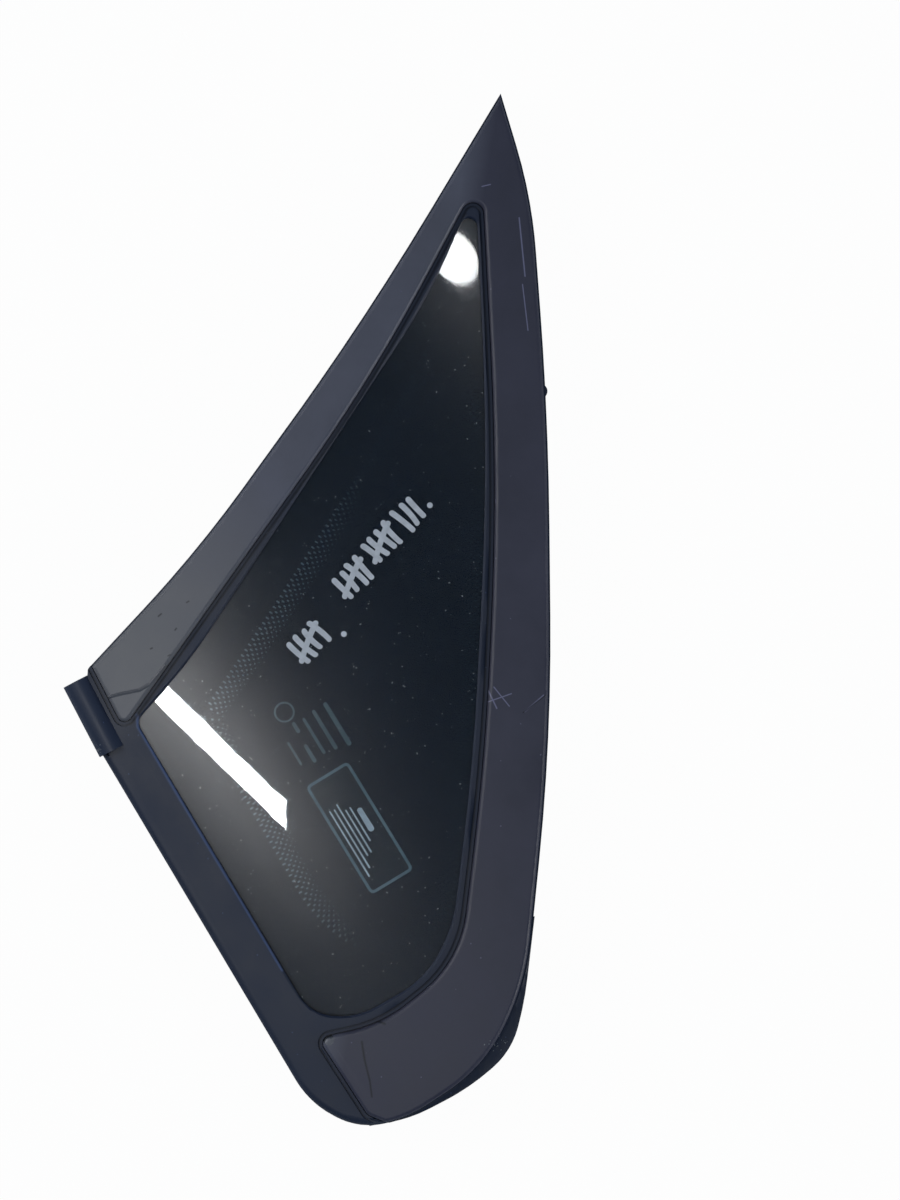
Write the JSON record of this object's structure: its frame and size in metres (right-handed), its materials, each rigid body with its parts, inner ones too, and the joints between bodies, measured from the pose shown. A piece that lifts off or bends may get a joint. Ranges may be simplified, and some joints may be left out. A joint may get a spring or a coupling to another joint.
{
  "type": "quarter window glass",
  "caption": "Curved triangular quarter window: tinted pane in a moulded frame with a wrapped V-shaped cover trim, adhesive bead and locating pins.",
  "frame": {"origin": "middle of the plan box, on the plane that the three locating pins stand on", "axes": "+Z out of the outer face, +Y from the belt corner towards the upper tip, +X towards the roof edge"},
  "size_m": [0.2339, 0.4961, 0.0313],
  "materials": {
    "glass": "polished",
    "border": "fired matt black",
    "film": "dark tint",
    "label": "printed",
    "frame": "moulded satin",
    "trim": "brushed",
    "wrap": "satin vinyl",
    "rubber": "matt",
    "adhesive": "cut",
    "pin": "moulded",
    "clip": "moulded"
  },
  "bodies": {
    "root": {"glass_pane": "glass", "printed_border": "border", "tint_film": "film", "film_label": "label", "moulded_frame": "frame", "cover_trim": "trim", "wrap_sheet": "wrap", "wrap_patch": "wrap", "belt_seal_end": "rubber", "adhesive_bead": "adhesive", "locating_pin_1": "pin", "locating_pin_2": "pin", "locating_pin_3": "pin", "trim_clip_1": "clip", "trim_clip_2": "clip", "trim_clip_3": "clip", "trim_clip_4": "clip", "trim_clip_5": "clip", "trim_clip_6": "clip", "trim_clip_7": "clip", "trim_clip_8": "clip", "trim_clip_9": "clip"}
  },
  "joints": []
}
